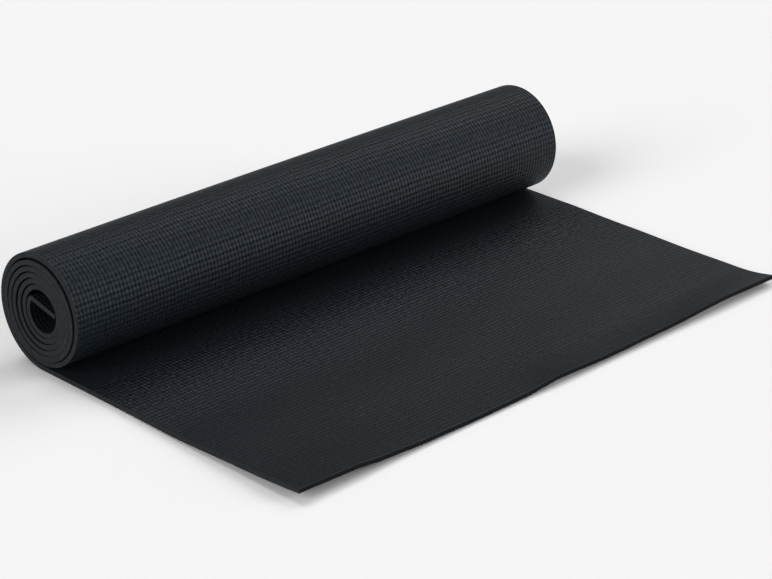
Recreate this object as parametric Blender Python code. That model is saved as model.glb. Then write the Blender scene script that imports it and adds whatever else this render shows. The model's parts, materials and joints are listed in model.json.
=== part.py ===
# Exercise mat, flat at its free end and rolled up at the other.
# Two foam layers are cast on a knitted scrim. The sheet bends, so all three layers are cut
# across the width into panels, and neighbouring panels meet at a hinge line.
# The mat is laid out along X, with the foot of the roll at x = 0, and rolls up clockwise as seen
# from its near end: bottom, left, top, right. Its underside is the outside of the roll.

import math

import bmesh
import bpy
from mathutils import Vector

# Driving sizes, in metres
mat_length = 1.800  # along the sheet, unrolled
mat_width = 0.610
foam_thickness = 0.0018  # each of the two layers
scrim_thickness = 0.0003
layer_gap = 0.0003  # between a foam layer and the scrim
panel_gap = 0.0003  # between neighbouring panels
flat_length = 0.330  # from the foot of the roll to the free edge
end_panel_length = 0.040
hollow_radius = 0.0165  # to the topside, where the roll's last turn ends
turn_clearance = 0.0010  # between one turn and the next, on average
fold_radius = 0.0015  # inside the fold of the inner end

# Counts, angles and shares
end_panel_count = 4
turn_panel_count = 6
turn_panel_angle = math.radians(30)
facet_angle = math.radians(10)
fold_angle = math.radians(80)
fold_facet_count = 4
drift_share = 0.47  # of the turn clearance, by which each turn's centre moves to the free end
tail_share = 0.955  # of the hollow's width, crossed by the folded inner end
foam_color = (0.026, 0.029, 0.033, 1.0)
foam_roughness = 0.62
scrim_color = (0.060, 0.062, 0.066, 1.0)
scrim_roughness = 0.80

# Sizes that follow from them
mat_thickness = 2 * (foam_thickness + layer_gap) + scrim_thickness
turn_pitch = mat_thickness + turn_clearance
turn_drift = drift_share * turn_clearance
fold_outer_radius = fold_radius + mat_thickness
fold_length = (fold_radius + mat_thickness / 2) * fold_angle
tail_length = tail_share * 2 * hollow_radius
rolled_length = mat_length - flat_length - fold_length - tail_length
inner_radius = hollow_radius + mat_thickness / 2
outer_radius = math.sqrt(inner_radius**2 + turn_pitch * rolled_length / math.pi)
roll_angle = math.tau * (outer_radius - inner_radius) / turn_pitch
roll_radius = outer_radius + mat_thickness / 2  # to the underside, at the foot of the roll
floor_panel_length = flat_length - end_panel_count * end_panel_length

# Where each layer starts, from the mat's underside surface inwards, and its thickness
layers = {
    "underside_foam": (0, foam_thickness),
    "scrim": (foam_thickness + layer_gap, scrim_thickness),
    "topside_foam": (mat_thickness - foam_thickness, foam_thickness),
}

down = Vector((0, -1))


# The sheet's path in the XZ plane. A station is a point on the underside and the direction
# that the underside faces there.
def flat_station(x):
    return Vector((x, 0)), down


def roll_station(angle):
    facing = Vector((-math.sin(angle), -math.cos(angle)))
    turns = angle / math.tau
    centre = Vector((turn_drift * turns, roll_radius))
    return centre + (roll_radius - turn_pitch * turns) * facing, facing


def fold_station(angle):
    start, start_facing = roll_station(roll_angle)
    centre = start - fold_outer_radius * start_facing
    facing = Vector((-math.sin(roll_angle + angle), -math.cos(roll_angle + angle)))
    return centre + fold_outer_radius * facing, facing


def tail_station(distance):
    start, facing = fold_station(fold_angle)
    along = Vector((facing.y, -facing.x))
    return start + distance * along, facing


def into_sheet(station, depth):
    point, facing = station
    return point - depth * facing


# The stations of each kind of panel, half a gap short of its hinge lines
def flat_panel(start, end):
    return [flat_station(start), flat_station(end)]


def turn_panel(start_angle, end_angle):
    trim = panel_gap / 2 / roll_radius
    facet_count = round((end_angle - start_angle) / facet_angle)
    inside = [start_angle + facet_angle * i for i in range(1, facet_count)]
    return [roll_station(a) for a in [start_angle + trim, *inside, end_angle - trim]]


def core_panel(start_angle):
    trim = panel_gap / 2 / roll_radius
    facet_count = math.ceil((roll_angle - start_angle) / facet_angle)
    inside = [start_angle + facet_angle * i for i in range(1, facet_count)]
    folds = [fold_angle * i / fold_facet_count for i in range(fold_facet_count + 1)]
    rolled = [roll_station(a) for a in [start_angle + trim, *inside]]
    return rolled + [fold_station(a) for a in folds]


# Every panel: name, stations, the point that its hinge line passes through, and its parent
def list_panels():
    half_gap = panel_gap / 2
    panels = [("floor_panel", flat_panel(half_gap, floor_panel_length - half_gap), Vector((0, 0)), None)]
    parent = "floor_panel"
    for i in range(end_panel_count):
        start = floor_panel_length + i * end_panel_length
        is_last = i == end_panel_count - 1
        end = start + end_panel_length - (0 if is_last else half_gap)
        hinge = into_sheet(flat_station(start), mat_thickness)
        panels.append((f"end_panel_{i + 1}", flat_panel(start + half_gap, end), hinge, parent))
        parent = panels[-1][0]
    parent = "floor_panel"
    for i in range(turn_panel_count):
        start = i * turn_panel_angle
        hinge = roll_station(start)[0]
        panels.append((f"turn_panel_{i + 1}", turn_panel(start, start + turn_panel_angle), hinge, parent))
        parent = panels[-1][0]
    core_start = turn_panel_count * turn_panel_angle
    panels.append(("roll_core", core_panel(core_start), roll_station(core_start)[0], parent))
    tail = [tail_station(panel_gap), tail_station(tail_length)]
    tail_hinge = into_sheet(tail_station(half_gap), mat_thickness)
    panels.append(("inner_end", tail, tail_hinge, "roll_core"))
    return panels


def least_turn_gap():
    facet_count = int((roll_angle - math.tau) / facet_angle)
    gaps = []
    for i in range(facet_count + 1):
        topside = into_sheet(roll_station(i * facet_angle), mat_thickness)
        next_underside = roll_station(i * facet_angle + math.tau)[0]
        gaps.append((topside - next_underside).length)
    return min(gaps)


def clear_scene():
    for item in list(bpy.data.objects):
        bpy.data.objects.remove(item, do_unlink=True)
    for group in list(bpy.data.collections):
        bpy.data.collections.remove(group)


def make_material(name, color, roughness):
    material = bpy.data.materials.new(name)
    material.use_nodes = True
    shader = material.node_tree.nodes["Principled BSDF"]
    shader.inputs["Base Color"].default_value = color
    shader.inputs["Roughness"].default_value = roughness
    shader.inputs["Metallic"].default_value = 0
    return material


# A layer of one panel: its line on the mat's underside is extruded through the layer's
# thickness, and that cross-section is extruded over the mat's width.
def layer_mesh(name, stations, hinge, depth, thickness):
    cross = bmesh.new()
    station_index = cross.verts.layers.int.new("station")

    def place(index, level):
        point = into_sheet(stations[index], level) - hinge
        return Vector((point.x, -mat_width / 2, point.y))

    line = [cross.verts.new(place(i, depth)) for i in range(len(stations))]
    for i, corner in enumerate(line):
        corner[station_index] = i
    edges = [cross.edges.new(ends) for ends in zip(line, line[1:])]
    extruded = bmesh.ops.extrude_edge_only(cross, edges=edges)["geom"]
    for item in extruded:
        if isinstance(item, bmesh.types.BMVert):
            item.co = place(item[station_index], depth + thickness)
    extruded = bmesh.ops.extrude_face_region(cross, geom=cross.faces[:])["geom"]
    far_side = [item for item in extruded if isinstance(item, bmesh.types.BMVert)]
    bmesh.ops.translate(cross, verts=far_side, vec=(0, mat_width, 0))
    bmesh.ops.recalc_face_normals(cross, faces=cross.faces[:])
    mesh = bpy.data.meshes.new(name)
    cross.to_mesh(mesh)
    cross.free()
    mesh.shade_smooth()
    mesh.set_sharp_from_angle(angle=2 * facet_angle + fold_angle / fold_facet_count)
    return mesh


def add_hinge(collection, name, location, parent):
    hinge = bpy.data.objects.new(name, None)
    hinge.empty_display_size = mat_thickness
    collection.objects.link(hinge)
    hinge.parent = parent
    hinge.location = location
    return hinge


def build():
    clear_scene()
    collection = bpy.data.collections.new("yoga_mat")
    bpy.context.scene.collection.children.link(collection)
    foam = make_material("foam", foam_color, foam_roughness)
    scrim = make_material("scrim", scrim_color, scrim_roughness)

    panels = list_panels()
    leftmost = min(point.x for _, stations, _, _ in panels for point, _ in stations)
    middle = (leftmost + flat_length) / 2
    hinges = {}
    hinge_points = {}
    for name, stations, hinge_point, parent in panels:
        offset = hinge_point - hinge_points[parent] if parent else hinge_point - Vector((middle, 0))
        place = Vector((offset.x, 0, offset.y))
        hinges[name] = add_hinge(collection, name + "_hinge", place, hinges.get(parent))
        hinge_points[name] = hinge_point
        for layer, (depth, thickness) in layers.items():
            mesh = layer_mesh(f"{layer}_{name}", stations, hinge_point, depth, thickness)
            mesh.materials.append(scrim if layer == "scrim" else foam)
            piece = bpy.data.objects.new(f"{layer}_{name}", mesh)
            collection.objects.link(piece)
            piece.parent = hinges[name]

    print(f"least gap between turns: {least_turn_gap() * 1000:.2f} mm")
    print(f"turns in the roll: {roll_angle / math.tau:.2f}")


build()
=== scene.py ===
# Exercise mat of charcoal foam, flat at its free end and still rolled up at the other.
# Lengths are in metres and angles in degrees. The roll's foot is where the flat part turns up into
# the roll. X runs from the roll to the free edge, Y from the roll's near end to its far end.
import json
import math

import bpy
import numpy as np
from mathutils import Matrix, Vector


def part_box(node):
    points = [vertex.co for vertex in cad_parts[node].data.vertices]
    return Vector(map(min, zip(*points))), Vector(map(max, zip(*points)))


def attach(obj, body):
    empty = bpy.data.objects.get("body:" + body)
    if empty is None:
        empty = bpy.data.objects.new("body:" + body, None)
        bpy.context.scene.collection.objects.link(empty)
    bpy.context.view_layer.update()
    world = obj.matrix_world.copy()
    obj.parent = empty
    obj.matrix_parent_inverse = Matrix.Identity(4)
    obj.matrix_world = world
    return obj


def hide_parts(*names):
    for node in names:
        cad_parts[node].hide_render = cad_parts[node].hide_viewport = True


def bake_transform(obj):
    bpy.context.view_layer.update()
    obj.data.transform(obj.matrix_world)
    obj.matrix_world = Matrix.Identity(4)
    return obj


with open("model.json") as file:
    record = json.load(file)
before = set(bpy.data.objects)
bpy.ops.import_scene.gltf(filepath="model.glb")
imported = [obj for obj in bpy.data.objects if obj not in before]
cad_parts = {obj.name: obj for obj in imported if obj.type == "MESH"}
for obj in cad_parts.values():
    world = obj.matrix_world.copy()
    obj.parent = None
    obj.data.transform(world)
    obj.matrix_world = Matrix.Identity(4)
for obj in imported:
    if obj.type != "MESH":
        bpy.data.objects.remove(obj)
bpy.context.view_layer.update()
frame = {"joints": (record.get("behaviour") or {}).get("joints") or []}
hinges = {joint["name"]: Vector(joint["pos_m"]) for joint in frame["joints"]}

# The whole sheet
matSheet = {
    "length": 1.800,
    "hollowRadius": 0.0165,  # to the topside, where the roll's last turn ends
    "turnClearance": 0.0010,  # between one turn and the next, on average
    "driftShare": 0.47,  # of that clearance, by which each turn moves to the free end
    "foldRadius": 0.0015,
    "foldAngle": 80,
    "tailShare": 0.955,  # of the hollow's width, crossed by the folded inner end
    "arris": 0.0005,  # radius on the cut edges
    "arrisSteps": 3,
    "arrisEnd": 84,  # how far the arris turns before the sheet's end is cut flat
    "arrisRoom": 1.5,  # arris radii at the sheet's end that hold no other station
    "widthSteps": 48,
    "rollStep": 3,  # between stations on the roll
    "flatStep": 0.0028,  # between stations on the flat part
}

footX = hinges["unroll_1"].x
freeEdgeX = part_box("underside_foam_end_panel_4")[1].x
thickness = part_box("topside_foam_floor_panel")[1].z
nearY, farY = (corner.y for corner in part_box("underside_foam_roll_core"))
matWidth = farY - nearY

flatLength = freeEdgeX - footX
foldAngle = math.radians(matSheet["foldAngle"])
turnPitch = thickness + matSheet["turnClearance"]
turnDrift = matSheet["driftShare"] * matSheet["turnClearance"]
foldOuterRadius = matSheet["foldRadius"] + thickness
foldMiddleRadius = matSheet["foldRadius"] + thickness / 2
tailLength = matSheet["tailShare"] * 2 * matSheet["hollowRadius"]
rolledLength = matSheet["length"] - flatLength - foldMiddleRadius * foldAngle - tailLength
innerRadius = matSheet["hollowRadius"] + thickness / 2
outerRadius = math.sqrt(innerRadius**2 + turnPitch * rolledLength / math.pi)
rollAngle = math.tau * (outerRadius - innerRadius) / turnPitch
rollRadius = outerRadius + thickness / 2
rollTurnCount = rollAngle / math.tau

# How the real sheet departs from a perfect one. Places round the roll are angles from its foot.
sheetLie = {
    "bow": 0.0021,  # by which the flat part lies nearer than the roll
    "bowReach": (0.070, 0.200),  # from the foot
    # Height of the free edge over the floor, by the distance from the near corner
    "edgeLift": (
        (0, 0.0083), (0.060, 0.0067), (0.100, 0.0031), (0.150, 0.0009), (0.210, 0.0002),
        (0.265, 0.0005), (0.312, 0.0037), (0.375, 0.0025), (0.450, 0.0035), (0.545, 0.0067),
        (0.610, 0.0056),
    ),
    "liftReach": (0.240, 0.044),  # from the free edge inwards, at the near and the far corner
    # From the near corner: the far reach holds past the first, the near reach before the second
    "liftSide": (0.26, 0.05),
    "liftPower": 2.0,
    "ripple": 0.0005,
    "rippleReach": (0.03, 0.10),  # from the foot
    "rippleTurn": (57, 9),  # radians of the wave in a metre along the sheet, and across it
    "rippleSway": 1.2,  # radians by which the crests sway
    "rippleSwayTurn": (17, 0.6),  # radians of that in a metre across, and where it starts
    "outerTurnOut": 0.0005,  # by which the outer turn stands out, away from the free end
    "outAt": (15, 90, 90, 165),  # where that starts, is full, falls off and ends
    "outerTurnUp": 0.0013,  # and at its top
    "upAt": (110, 195, 195, 290),
    "outerTurnFill": 0.55,  # the share of that by which the turn is thicker, and not further out
    "barrel": 0.0007,  # more at the middle of the roll's length than at its ends
    "lean": 0.0004,  # more at the far end than at the near end
    "unevenAt": (20, 120, 350, 460),  # where both of those start, are full, fall off and end
    "slide": 0.0016,  # by which the inner turns stand out at the near end
    "slideTurns": (0.97, 1.35, 3.2, 5.2),  # where that starts, is full, falls off and ends
    "pressedAt": 262,  # the direction in which the turns press on each other
    "pressedReach": (72, 112),  # to both sides of it, where that starts to fall off and ends
    "pressedFade": 0.35,  # turns over which that starts after the first, and ends before the last
    "pressedGap": 0.00008,
}
edgeLiftAt, edgeLiftHeight = np.array(sheetLie["edgeLift"]).T


def ease(value, start, end):
    t = np.clip((value - start) / (end - start), 0, 1)
    return t * t * (3 - 2 * t)


def easeInAndOut(value, start, full, falls, end):
    return ease(value, start, full) * (1 - ease(value, falls, end))


# The underside's line. q is an angle: below 0 on the flat part, up to rollAngle on the roll, then
# the fold and the folded inner end. Gives x, z, the direction that the underside faces, and the
# length along the sheet from the roll's foot.
def sheetPath(q):
    onFlat = np.maximum(-q, 0) * rollRadius
    a = np.clip(q, 0, rollAngle)
    b = np.clip(q - rollAngle, 0, foldAngle)
    onTail = np.maximum(q - rollAngle - foldAngle, 0) * rollRadius
    turns = a / math.tau
    radius = rollRadius - turnPitch * turns
    faceX, faceZ = -np.sin(a + b), -np.cos(a + b)
    x = footX + onFlat + turnDrift * turns - radius * np.sin(a)
    z = rollRadius - radius * np.cos(a)
    x = x + foldOuterRadius * (faceX + np.sin(a)) + onTail * faceZ
    z = z + foldOuterRadius * (faceZ + np.cos(a)) - onTail * faceX
    along = (rollRadius - thickness / 2) * a - turnPitch * a * a / (2 * math.tau)
    return x, z, faceX, faceZ, along + foldMiddleRadius * b + onTail - onFlat


# How high the sheet lies over the floor on the flat part
def flatLift(fromFoot, fromCorner):
    lie = sheetLie
    place = np.clip(fromCorner, 0, matWidth)
    i = np.clip(np.searchsorted(edgeLiftAt, place, "right") - 1, 0, len(edgeLiftAt) - 2)
    share = ease(place, edgeLiftAt[i], edgeLiftAt[i + 1])
    atEdge = edgeLiftHeight[i] + share * (edgeLiftHeight[i + 1] - edgeLiftHeight[i])

    nearReach, farReach = lie["liftReach"]
    reach = farReach + (nearReach - farReach) * ease(fromCorner, *lie["liftSide"])
    toEdge = np.clip((fromFoot - flatLength + reach) / reach, 0, 1)

    perAlong, perAcross = lie["rippleTurn"]
    perSway, swayStart = lie["rippleSwayTurn"]
    sway = lie["rippleSway"] * np.sin(fromCorner * perSway + swayStart)
    wave = 0.5 + 0.5 * np.sin(fromFoot * perAlong + perAcross * fromCorner + sway)
    ripple = lie["ripple"] * wave * ease(fromFoot, *lie["rippleReach"])
    return atEdge * toEdge ** lie["liftPower"] + ripple


# A point of the sheet: depth runs from the underside, 0, to the topside
def sheetPoint(q, y, depth):
    x, z, faceX, faceZ, _ = sheetPath(q)
    lie = sheetLie
    around = np.degrees(q)
    turns = q / math.tau

    # the turns press on each other on one side
    off = np.abs((around - lie["pressedAt"] + 180) % 360 - 180)
    fade = lie["pressedFade"]
    lastTurn = rollTurnCount - 1
    pressed = 1 - ease(off, *lie["pressedReach"])
    pressed = pressed * easeInAndOut(turns, 1.0, 1.0 + fade, lastTurn - fade, lastTurn)
    gap = matSheet["turnClearance"] - turnDrift * faceX
    depth = depth * (1 + pressed * (gap - lie["pressedGap"]) / thickness)

    # the outer turn isn't quite round, nor quite straight
    out = lie["outerTurnOut"] * easeInAndOut(around, *lie["outAt"])
    out = out + lie["outerTurnUp"] * easeInAndOut(around, *lie["upAt"])
    out = out * (1 - lie["outerTurnFill"] * depth / thickness)
    alongRoll = (y - nearY) / matWidth
    uneven = lie["barrel"] * (1 - (2 * alongRoll - 1) ** 2) + lie["lean"] * alongRoll
    depth = depth - out - uneven * easeInAndOut(around, *lie["unevenAt"])

    # the inner turns slide out, and the flat part bows
    fromFoot = np.maximum(-q, 0) * rollRadius
    slide = lie["slide"] * easeInAndOut(turns, *lie["slideTurns"])
    bow = lie["bow"] * ease(fromFoot, *lie["bowReach"])
    lift = flatLift(fromFoot, y - nearY)
    return np.stack([x - depth * faceX, y - bow - slide, z - depth * faceZ + lift], -1)


# Half of the sheet's cross-section, from one side over a face to the other: y, distance in from
# the face, and the direction that the surface faces there
def halfSection():
    r = matSheet["arris"]
    corner = np.radians(np.linspace(0, 90, matSheet["arrisSteps"] + 1))[:-1]
    middle = np.linspace(nearY + r, farY - r, matSheet["widthSteps"] + 1)
    nearCorner, farCorner = nearY + r - r * np.cos(corner), farY - r + r * np.cos(corner)
    y = np.concatenate([nearCorner, middle, farCorner[::-1]])
    inward = np.concatenate([r - r * np.sin(corner), 0 * middle, (r - r * np.sin(corner))[::-1]])
    faceY = np.concatenate([-np.cos(corner), 0 * middle, np.cos(corner)[::-1]])
    faceOut = np.concatenate([np.sin(corner), 0 * middle + 1, np.sin(corner)[::-1]])
    return y, inward, faceY, faceOut


# Stations of a run of the sheet: q, how far the section shrinks, and how far the surface faces
# the end
def sheetRun(start, end, step, roundStart=False, roundEnd=False):
    count = max(2, math.ceil(abs(end - start) / step))
    q = np.linspace(start, end, count + 1)
    shrink, endwise = 0 * q, 0 * q
    r = matSheet["arris"]
    corner = np.radians(np.linspace(0, matSheet["arrisEnd"], matSheet["arrisSteps"] + 1))
    for wanted, tip, sign in ((roundStart, start, -1), (roundEnd, end, 1)):
        if wanted:
            qTip = tip - sign * (r - r * np.sin(corner)) / rollRadius
            keep = (q - tip) * sign < -matSheet["arrisRoom"] * r / rollRadius
            pairs = [
                (q[keep], qTip),
                (shrink[keep], r - r * np.cos(corner)),
                (endwise[keep], sign * np.sin(corner)),
            ]
            if sign < 0:
                pairs = [(tipPart[::-1], rest) for rest, tipPart in pairs]
            q, shrink, endwise = (np.concatenate(pair) for pair in pairs)
    return q, shrink, endwise


def unit(v):
    return v / np.linalg.norm(v, axis=1)[:, None]


normalStep = {"along": 2e-4, "across": 1e-5, "through": 1e-5}  # an angle, then two lengths


# The directions that a face, a side and an end of the sheet look in at each point. They come from
# small steps over the sheet, so they run on from piece to piece.
def sheetDirections(q, y, depth):
    def direction(dq, dy, dd):
        return unit(sheetPoint(q + dq, y + dy, depth + dd) - sheetPoint(q - dq, y - dy, depth - dd))

    along = direction(normalStep["along"], 0, 0)
    across = direction(0, normalStep["across"], 0)
    through = direction(0, 0, normalStep["through"])
    side = np.sign((np.cross(along, across) * through).sum(1))[:, None]
    faceOut = np.cross(along, across) * side
    sideOut = np.cross(through, along) * side
    endOut = unit(np.cross(across, through) * side)
    return faceOut, sideOut, endOut


topsideFace, undersideFace, sideFace, endFace = 0, 1, 2, 3


# Faces over the topside, the underside and the two sides, then the two end caps, and the finish
# of each
def sheetFaces(stationCount, halfCount):
    ringCount = 2 * halfCount
    station = np.arange(stationCount - 1)[:, None] * ringCount

    def strip(first, second):
        this, following = station, station + ringCount
        corners = [this + first, this + second, following + second, following + first]
        return np.stack(np.broadcast_arrays(*corners), -1).reshape(-1, 4)

    k = np.arange(halfCount - 1)
    top = strip(k, k + 1)
    bottom = strip(halfCount + k + 1, halfCount + k)
    sides = [strip(halfCount, 0), strip(halfCount - 1, ringCount - 1)]
    startCap = np.stack([k, k + halfCount, k + halfCount + 1, k + 1], -1)
    endCap = startCap[:, ::-1] + (stationCount - 1) * ringCount

    steps = matSheet["arrisSteps"]
    isFace = np.tile((k >= steps) & (k < halfCount - 1 - steps), stationCount - 1)
    finish = np.concatenate([
        np.where(isFace, topsideFace, sideFace),
        np.where(isFace, undersideFace, sideFace),
        np.full(sum(map(len, sides)), sideFace),
        np.full(2 * len(k), endFace),
    ])
    return np.concatenate([top, bottom, *sides, startCap, endCap]), finish


def sheetMesh(name, run):
    q, shrink, endwise = run
    y, inward, faceY, faceOut = halfSection()
    stationCount, halfCount = len(q), len(y)
    ringCount = 2 * halfCount
    ringY = np.concatenate([y, y])
    ringFaceY = np.concatenate([faceY, faceY])
    ringFaceDepth = np.concatenate([faceOut, -faceOut])
    ringDepth = np.concatenate([thickness - inward, inward])

    gridQ = np.repeat(q, ringCount)
    gridY = (ringY[None] - shrink[:, None] * ringFaceY[None]).ravel()
    gridDepth = (ringDepth[None] - shrink[:, None] * ringFaceDepth[None]).ravel()
    points = sheetPoint(gridQ, gridY, gridDepth)

    # a normal leans to the end on the last arris, and to the side on the others
    level = np.sqrt(1 - endwise**2)
    faceDirection, sideDirection, endDirection = sheetDirections(gridQ, gridY, gridDepth)
    normals = unit(
        endDirection * np.repeat(endwise, ringCount)[:, None]
        + sideDirection * (level[:, None] * ringFaceY[None]).reshape(-1, 1)
        + faceDirection * (level[:, None] * ringFaceDepth[None]).reshape(-1, 1)
    )

    faces, finish = sheetFaces(stationCount, halfCount)
    capCount = halfCount - 1
    cornerNormals = normals[faces]
    cornerNormals[-2 * capCount:-capCount] = -endDirection[faces[-2 * capCount:-capCount]]
    cornerNormals[-capCount:] = endDirection[faces[-capCount:]]

    # the map is in metres: along and across the sheet on its faces, along and through on its
    # sides, across and through on its ends
    along = sheetPath(gridQ)[4]
    faceMap = np.stack([along, gridY], -1)[faces]
    sideMap = np.stack([along, gridDepth], -1)[faces]
    capMap = np.stack([gridY, gridDepth], -1)[faces]
    onFace = (finish == topsideFace) | (finish == undersideFace)
    edgeMap = np.where((finish == endFace)[:, None, None], capMap, sideMap)
    cornerMap = np.where(onFace[:, None, None], faceMap, edgeMap)

    # turn the faces outwards
    a, b, c = (points[faces[:, i]] for i in range(3))
    if (np.cross(b - a, c - a) * cornerNormals[:, 0]).sum() < 0:
        faces, cornerNormals, cornerMap = (v[:, ::-1] for v in (faces, cornerNormals, cornerMap))

    mesh = bpy.data.meshes.new(name)
    mesh.from_pydata(points.tolist(), [], faces.tolist())
    mesh.uv_layers.new(name="sheet").data.foreach_set("uv", cornerMap.ravel())
    mesh.polygons.foreach_set("material_index", finish)
    mesh.polygons.foreach_set("use_smooth", np.ones(len(faces), bool))
    mesh.normals_split_custom_set(cornerNormals.reshape(-1, 3).tolist())
    mesh.update()
    return mesh


sheetLayers = ("topside_foam", "scrim", "underside_foam")


# One piece of the sheet, in the place of the three layers of a panel
def addPiece(name, run, panel):
    mesh = sheetMesh(name, run)
    for finish in finishes:
        mesh.materials.append(finish)
    piece = bpy.data.objects.new(name, mesh)
    bpy.context.scene.collection.objects.link(piece)
    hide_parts(*(f"{layer}_{panel}" for layer in sheetLayers))
    return piece


def flatQ(fromFoot):
    return -fromFoot / rollRadius


# Materials
def addNode(tree, kind, values=None, **settings):
    node = tree.nodes.new(kind)
    for name, value in settings.items():
        setattr(node, name, value)
    for socket, value in (values or {}).items():
        if isinstance(value, bpy.types.NodeSocket):
            tree.links.new(value, node.inputs[socket])
        else:
            node.inputs[socket].default_value = value
    return node


def calculate(tree, operation, first, second=0.0):
    values = {0: first, 1: second}
    return addNode(tree, "ShaderNodeMath", values, operation=operation).outputs[0]


def add(tree, first, second):
    return calculate(tree, "ADD", first, second)


def subtract(tree, first, second):
    return calculate(tree, "SUBTRACT", first, second)


def multiply(tree, first, second):
    return calculate(tree, "MULTIPLY", first, second)


# Turns a value between 0 and 1 into one that is spread round a middle
def spread(tree, value, amount, middle=1.0):
    return add(tree, multiply(tree, value, amount), middle - amount / 2)


noiseDetail = {"plain": 1.0, "usual": 2.0, "fine": 3.0}


def noise(tree, vector, scale, detail="usual"):
    values = {"Vector": vector, "Scale": scale, "Detail": noiseDetail[detail]}
    return addNode(tree, "ShaderNodeTexNoise", values, noise_dimensions="2D").outputs[0]


def easeBetween(tree, value, start, end, atStart, atEnd):
    values = dict(enumerate((value, start, end, atStart, atEnd)))
    node = addNode(tree, "ShaderNodeMapRange", values, interpolation_type="SMOOTHSTEP")
    return node.outputs[0]


def scaleColor(tree, color, factor):
    mix = addNode(tree, "ShaderNodeMix", data_type="RGBA", blend_type="MULTIPLY")
    mix.inputs[0].default_value = 1.0
    mix.inputs[6].default_value = (*color, 1.0)
    tree.links.new(factor, mix.inputs[7])
    return mix.outputs[2]


# Ridges one pitch apart, 0 in the grooves and 1 on top. Rows go in pairs: the ridges move towards
# every second groove, which is also the deeper one. Gives the wave and that groove's mark.
def ridges(tree, position, pitch, pillow, pairing=0.0):
    phase = multiply(tree, position, math.pi / pitch)
    paired = add(tree, phase, multiply(tree, calculate(tree, "SINE", phase), pairing))
    wave = calculate(tree, "ABSOLUTE", calculate(tree, "SINE", paired))
    return calculate(tree, "POWER", wave, pillow), calculate(tree, "COSINE", phase)


def newMaterial(name, look):
    material = bpy.data.materials.new(name)
    material.use_nodes = True
    tree = material.node_tree
    shader = tree.nodes["Principled BSDF"]
    shader.inputs["Specular IOR Level"].default_value = look["specular"]
    shader.inputs["Metallic"].default_value = 0.0
    uv = addNode(tree, "ShaderNodeUVMap", uv_map="sheet").outputs["UV"]
    first, second, _ = addNode(tree, "ShaderNodeSeparateXYZ", {0: uv}).outputs
    return material, tree, shader, uv, first, second


def addRelief(tree, shader, height, relief):
    values = {"Strength": 1.0, "Distance": relief, "Height": height}
    bump = addNode(tree, "ShaderNodeBump", values)
    tree.links.new(bump.outputs[0], shader.inputs["Normal"])


# Foam with the relief of the scrim's mesh under it: beads in rows, grooves between them and a pit
# at each crossing of two grooves. The grooves and pits carry painted shade, and the beads painted
# glints. The relief fades towards the free end and, where set, beside and inside the roll; there
# the painted shade and glints fade too, and the colour and gloss can be darkened, which is painted
# shade.
def wovenFoam(name, look):
    material, tree, shader, uv, onLength, onWidth = newMaterial(name, look)

    # slow wander of the rows, so that they aren't ruled lines
    wander = spread(tree, noise(tree, uv, look["wanderScale"]), look["wander"], 0.0)
    fineNoise = noise(tree, uv, look["wanderScale"] * look["fineWanderScale"])
    fineWander = spread(tree, fineNoise, look["wander"] * look["fineWander"], 0.0)
    along = add(tree, add(tree, onLength, wander), fineWander)
    across = add(tree, onWidth, subtract(tree, fineWander, wander))

    # the grooves, and how strong they are from place to place
    rows, everySecond = ridges(tree, along, look["pitchAlong"], look["pillow"], look["pairing"])
    columns, _ = ridges(tree, across, look["pitchAcross"], look["pillow"])
    rowDepth = add(tree, multiply(tree, everySecond, look["unevenRows"]), 1.0)
    rowGroove = multiply(tree, subtract(tree, 1.0, rows), rowDepth)
    columnGroove = subtract(tree, 1.0, columns)
    # how strong the weave is: its relief, painted groove shade and painted glints fade towards the
    # free end, and beside and inside the roll
    pressed = easeBetween(
        tree, onLength, -look["weaveFadeTo"], -look["weaveFadeFrom"], look["weaveFadeShare"], 1.0
    )
    rolled = easeBetween(
        tree, onLength, -look["rolledFrom"], -look["rolledTo"], 1.0, look["rolledShare"]
    )
    strength = multiply(tree, pressed, rolled)
    pit = multiply(tree, multiply(tree, rowGroove, columnGroove), strength)
    rowPart = multiply(tree, rowGroove, look["rowShare"])
    columnPart = multiply(tree, columnGroove, 1 - look["rowShare"])
    grooves = multiply(tree, add(tree, rowPart, columnPart), strength)

    # relief
    grain = noise(tree, uv, look["grainScale"], "fine")
    dip = add(tree, grooves, multiply(tree, pit, look["pitDepth"]))
    beads = noise(tree, uv, look["beadNoise"] / look["pitchAcross"], "plain")
    height = multiply(tree, dip, spread(tree, beads, -look["uneven"], -1.0))
    height = add(tree, height, multiply(tree, grain, look["grainRelief"]))
    addRelief(tree, shader, height, look["relief"])

    # shade: painted shade in grooves and pits and where the weave fades, and painted glints
    shade = subtract(tree, 1.0, multiply(tree, grooves, look["groovePaintedShade"]))
    shade = subtract(tree, shade, multiply(tree, pit, look["pitPaintedShade"]))
    # painted glints: the beads lighter and darker at random, in colour and gloss, for light
    # catching on them
    paintedGlints = spread(tree, noise(tree, uv, look["paintedGlintScale"], "plain"), look["paintedGlints"], 0.0)
    shade = multiply(tree, shade, add(tree, multiply(tree, paintedGlints, strength), 1.0))
    # painted shade: colour and gloss darker where the weave fades, towards the free end and beside
    # and inside the roll
    paintedFadeShade = multiply(tree, strength, 1 - look["paintedShadeWhereFaded"])
    paintedFadeShade = add(tree, paintedFadeShade, look["paintedShadeWhereFaded"])
    shade = calculate(tree, "MAXIMUM", multiply(tree, shade, paintedFadeShade), look["darkest"])
    patches = spread(tree, noise(tree, uv, look["patchScale"], "fine"), look["patches"])
    speckle = spread(tree, grain, look["speckle"])
    paint = multiply(tree, multiply(tree, shade, patches), speckle)
    tree.links.new(scaleColor(tree, look["color"], paint), shader.inputs["Base Color"])
    # the gloss carries the same painted shade and glints
    tree.links.new(scaleColor(tree, look["glossTint"], shade), shader.inputs["Specular Tint"])

    rough = spread(tree, grain, look["roughnessSpread"], look["roughness"])
    rough = add(tree, rough, multiply(tree, grooves, look["grooveRoughness"]))
    tree.links.new(rough, shader.inputs["Roughness"])
    return material


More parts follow.
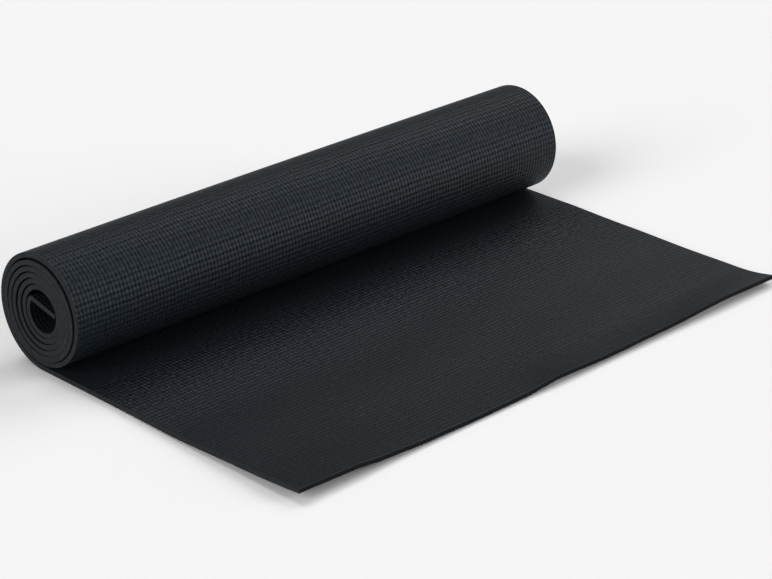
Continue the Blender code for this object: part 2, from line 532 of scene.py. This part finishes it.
# Cut edge: closed-cell foam with fine pores, and the scrim's yarn ends along the middle
def cutFoam(name, look):
    material, tree, shader, uv, alongEdge, throughSheet = newMaterial(name, look)
    cells = {"Vector": uv, "Scale": 1 / look["poreSize"]}
    pores = addNode(tree, "ShaderNodeTexVoronoi", cells, voronoi_dimensions="2D").outputs[0]
    grain = noise(tree, uv, look["grainScale"], "fine")
    poreHeight = multiply(tree, pores, look["poreRelief"])
    grainHeight = multiply(tree, grain, 1 - look["poreRelief"])
    addRelief(tree, shader, add(tree, poreHeight, grainHeight), look["relief"])

    fromMiddle = calculate(tree, "ABSOLUTE", subtract(tree, throughSheet, thickness / 2))
    inLine = calculate(tree, "LESS_THAN", fromMiddle, look["yarn"] / 2)
    yarns, _ = ridges(tree, alongEdge, look["yarnPitch"], look["yarnPillow"])
    yarnEnds = multiply(tree, inLine, yarns)
    patches = spread(tree, noise(tree, uv, look["patchScale"], "fine"), look["patches"])
    shade = multiply(tree, spread(tree, grain, look["speckle"]), patches)
    shade = add(tree, shade, multiply(tree, yarnEnds, look["yarnLift"]))
    tree.links.new(scaleColor(tree, look["color"], shade), shader.inputs["Base Color"])

    rough = spread(tree, grain, look["roughnessSpread"], look["roughness"])
    tree.links.new(rough, shader.inputs["Roughness"])
    return material


undersideLook = {
    "color": (0.0104, 0.0141, 0.0180),
    "glossTint": (0.84, 0.94, 1.0),
    "specular": 0.14,
    "roughness": 0.48,
    "roughnessSpread": 0.10,
    "grooveRoughness": 0.10,
    "pitchAlong": 0.00485,
    "pitchAcross": 0.00403,
    "pillow": 1.0,  # more makes the beads narrower
    "pairing": 0.15,  # how far the ridges move towards every second groove
    "unevenRows": 0.18,  # how much deeper that groove is
    "rowShare": 0.55,  # of the grooves' depth, for those between rows
    "relief": 0.00062,
    "pitDepth": 0.5,
    # painted shade: the grooves and pits darkened in colour and gloss, where shade falls in them
    "groovePaintedShade": 0.26,
    "pitPaintedShade": 0.42,
    "darkest": 0.02,
    "wander": 0.0021,
    "wanderScale": 22.0,
    "fineWander": 0.3,  # the share of a second, finer wander, and how much finer it is
    "fineWanderScale": 6.3,
    "uneven": 0.35,  # how much the beads differ in height
    "beadNoise": 1.7,  # changes of that in one pitch
    "grainScale": 1300.0,
    "grainRelief": 0.06,
    "speckle": 0.20,
    "patches": 0.10,
    "patchScale": 9.0,
    "paintedGlints": 1.0,  # painted glints: how much the beads differ in shade at random, in colour and gloss
    "paintedGlintScale": 260.0,
    "paintedShadeWhereFaded": 1.0,  # painted shade: the share of the colour and gloss left where the weave is flat
    "weaveFadeFrom": 0.085,  # from the roll's foot
    "weaveFadeTo": 0.200,
    "weaveFadeShare": 0.75,  # of the weave's relief, painted shade and glints, left there
    "rolledFrom": 0.082,  # from the roll's foot
    "rolledTo": 0.045,
    "rolledShare": 1.0,  # of the weave's relief, painted shade and glints, left from there on into the roll
}
topsideLook = {
    **undersideLook,
    "color": (0.0152, 0.0185, 0.0243),
    "glossTint": (0.86, 0.89, 1.0),
    "specular": 0.18,
    "roughness": 0.42,
    "pillow": 2.2,
    "pairing": 0.31,
    "unevenRows": 0.3,
    "rowShare": 0.40,
    "relief": 0.0012,
    "pitDepth": 0.0,
    # painted shade: wide dark grooves leave only the narrow bead tops light, as if grazing light
    # caught only them
    "groovePaintedShade": 0.80,
    "pitPaintedShade": 0.0,
    "uneven": 0.7,
    # painted glints, stronger on the topside
    "paintedGlints": 2.0,
    # painted shade: the topside's colour and gloss darker towards the free end, and beside and
    # inside the roll
    "paintedShadeWhereFaded": 0.52,
    "weaveFadeShare": 0.24,
    "rolledShare": 0.38,
}
sideLook = {
    "color": (0.0222, 0.0245, 0.0275),
    "roughness": 0.78,
    "roughnessSpread": 0.16,
    "specular": 0.06,
    "poreSize": 0.0005,
    "poreRelief": 0.5,
    "grainScale": 1900.0,
    "speckle": 0.7,
    "patchScale": 260.0,
    "patches": 0.9,
    "relief": 0.00010,
    "yarn": 0.0006,
    "yarnPitch": 0.00485,
    "yarnPillow": 4.0,
    "yarnLift": 0.20,
}
# painted shade: a darker copy of the cut side, on the cut ends, the free edge and the inner end's
# tip; it stands in for the shade on the free edge
paintedShadeEndLook = {**sideLook, "color": (0.0066, 0.0076, 0.0090)}

# In the order of the face numbers above
finishes = (
    wovenFoam("foamTopside", topsideLook),
    wovenFoam("foamUnderside", undersideLook),
    cutFoam("foamCutSide", sideLook),
    cutFoam("foamCutEndPaintedShade", paintedShadeEndLook),
)
print("materials: topside, underside and cut edges")

rollStep = math.radians(matSheet["rollStep"])
flatStep = matSheet["flatStep"] / rollRadius
rollStrips = {"count": 6, "angle": 30}
stripAngle = math.radians(rollStrips["angle"])

# The foot, from the middle of the floor panel to the middle of the roll's first strip
rollFoot = {
    "flatStart": 0.080,  # from the roll's foot, on the flat part
    "bendStart": 0.0146,  # likewise
    "bendEnd": 8,  # round the roll
}
run = sheetRun(flatQ(rollFoot["flatStart"]), stripAngle / 2, flatStep)
piece = addPiece("rollFoot", run, "floor_panel")
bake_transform(piece)
print("roll foot: done")

# The roll's first half turn, in strips that each reach from one panel's middle to the next one's
for i in range(1, rollStrips["count"] + 1):
    start = (i - 0.5) * stripAngle
    end = start + stripAngle
    piece = addPiece(f"rollStrip{i}", sheetRun(start, end, rollStep), f"turn_panel_{i}")
    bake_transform(piece)
print("roll strips: done")

# Everything wound after that
start = (rollStrips["count"] + 0.5) * stripAngle
rollTurns = addPiece("rollTurns", sheetRun(start, rollAngle, rollStep), "roll_core")
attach(rollTurns, "roll_core")
print("roll turns: done")

# The folded inner end
innerEndFold = {"bendLength": 0.010, "step": 5}  # the step is between stations in the fold
foldStep = math.radians(innerEndFold["step"])
tailStart = rollAngle + foldAngle
tailEnd = tailStart + tailLength / rollRadius
fold = sheetRun(rollAngle, tailStart, foldStep)
tail = sheetRun(tailStart, tailEnd, flatStep, roundEnd=True)
run = tuple(np.concatenate([a[:-1], b]) for a, b in zip(fold, tail))
innerEnd = addPiece("innerEnd", run, "inner_end")
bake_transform(innerEnd)
print("inner end: done")

# The free end, in strips that each reach from one panel's middle to the next one's
freeStrips = {"count": 4, "bendReach": 0.014}  # the reach is to both sides of a hinge
liftHinges = [hinges[f"lift_{i + 1}"] for i in range(freeStrips["count"])]
liftX = [hinge.x - footX for hinge in liftHinges]
borders = [rollFoot["flatStart"], *((a + b) / 2 for a, b in zip(liftX, liftX[1:])), flatLength]
for i, hinge in enumerate(liftHinges, 1):
    isLast = i == freeStrips["count"]
    run = sheetRun(flatQ(borders[i]), flatQ(borders[i - 1]), flatStep, roundStart=isLast)
    piece = addPiece(f"freeStrip{i}", run, f"end_panel_{i}")
    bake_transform(piece)
print("free strips: done")

# A pale floor
studioFloor = {"size": 80.0, "below": 0.0003, "color": (0.88, 0.88, 0.88), "roughness": 0.9}
half = studioFloor["size"] / 2
corners = [(-half, -half), (half, -half), (half, half), (-half, half)]
floorMesh = bpy.data.meshes.new("studioFloor")
floorMesh.from_pydata([(x, y, -studioFloor["below"]) for x, y in corners], [], [(0, 1, 2, 3)])
floorPiece = bpy.data.objects.new("studioFloor", floorMesh)
bpy.context.scene.collection.objects.link(floorPiece)
floorMaterial = bpy.data.materials.new("paleFloor")
floorMaterial.use_nodes = True
floorShader = floorMaterial.node_tree.nodes["Principled BSDF"]
floorShader.inputs["Base Color"].default_value = (*studioFloor["color"], 1)
floorShader.inputs["Roughness"].default_value = studioFloor["roughness"]
floorShader.inputs["Specular IOR Level"].default_value = 0.0
floorMesh.materials.append(floorMaterial)

# Soft light: four wide, far lamps round the mat, which light the floor evenly, and a little from
# the world
studioLight = {"worldStrength": 0.15}
softLamps = {
    "highLamp": {"azimuth": 172, "elevation": 60, "wide": 28, "strength": 0.88},
    "backLamp": {"azimuth": 104, "elevation": 40, "wide": 40, "strength": 0.88},
    "sideLamp": {"azimuth": 45, "elevation": 18, "wide": 36, "strength": 1.95},
    "frontLamp": {"azimuth": 270, "elevation": 30, "wide": 36, "strength": 1.75},
}
world = bpy.data.worlds.new("studioWorld")
bpy.context.scene.world = world
world.use_nodes = True
background = world.node_tree.nodes["Background"]
background.inputs["Color"].default_value = (1, 1, 1, 1)
background.inputs["Strength"].default_value = studioLight["worldStrength"]
for name, setting in softLamps.items():
    lamp = bpy.data.lights.new(name, "SUN")
    lamp.energy = setting["strength"]
    lamp.angle = math.radians(setting["wide"])
    azimuth, elevation = math.radians(setting["azimuth"]), math.radians(setting["elevation"])
    levelX, levelY = math.cos(azimuth), math.sin(azimuth)
    level = math.cos(elevation)
    towards = Vector((levelX * level, levelY * level, math.sin(elevation)))
    lampPiece = bpy.data.objects.new(name, lamp)
    bpy.context.scene.collection.objects.link(lampPiece)
    lampPiece.rotation_euler = towards.to_track_quat("Z", "Y").to_euler()
print("studio: floor and", len(softLamps), "lamps")

# Camera, at the photograph's angle
photoCamera = {
    "at": (1.66137, -1.24120, 1.01004),  # from the near end of the roll's foot
    "yaw": 44.945,
    "pitch": 24.370,
    "roll": 0.524,
    "lens": 122.15,
    "sensor": 36,
}
yaw, pitch, roll = (math.radians(photoCamera[k]) for k in ("yaw", "pitch", "roll"))
cosPitch = math.cos(pitch)
forward = Vector((-math.sin(yaw) * cosPitch, math.cos(yaw) * cosPitch, -math.sin(pitch)))
levelRight = Vector((math.cos(yaw), math.sin(yaw), 0))
levelUp = levelRight.cross(forward)
right = levelRight * math.cos(roll) + levelUp * math.sin(roll)
up = levelUp * math.cos(roll) - levelRight * math.sin(roll)
cameraData = bpy.data.cameras.new("photoCamera")
cameraData.lens = photoCamera["lens"]
cameraData.sensor_width = photoCamera["sensor"]
camera = bpy.data.objects.new("photoCamera", cameraData)
bpy.context.scene.collection.objects.link(camera)
place = Vector(photoCamera["at"]) + Vector((footX, nearY, 0))
turn = Matrix((right, up, -forward)).transposed().to_4x4()
camera.matrix_world = Matrix.Translation(place) @ turn
bpy.context.scene.camera = camera
bpy.context.scene.view_settings.view_transform = "Standard"
print("camera: done")
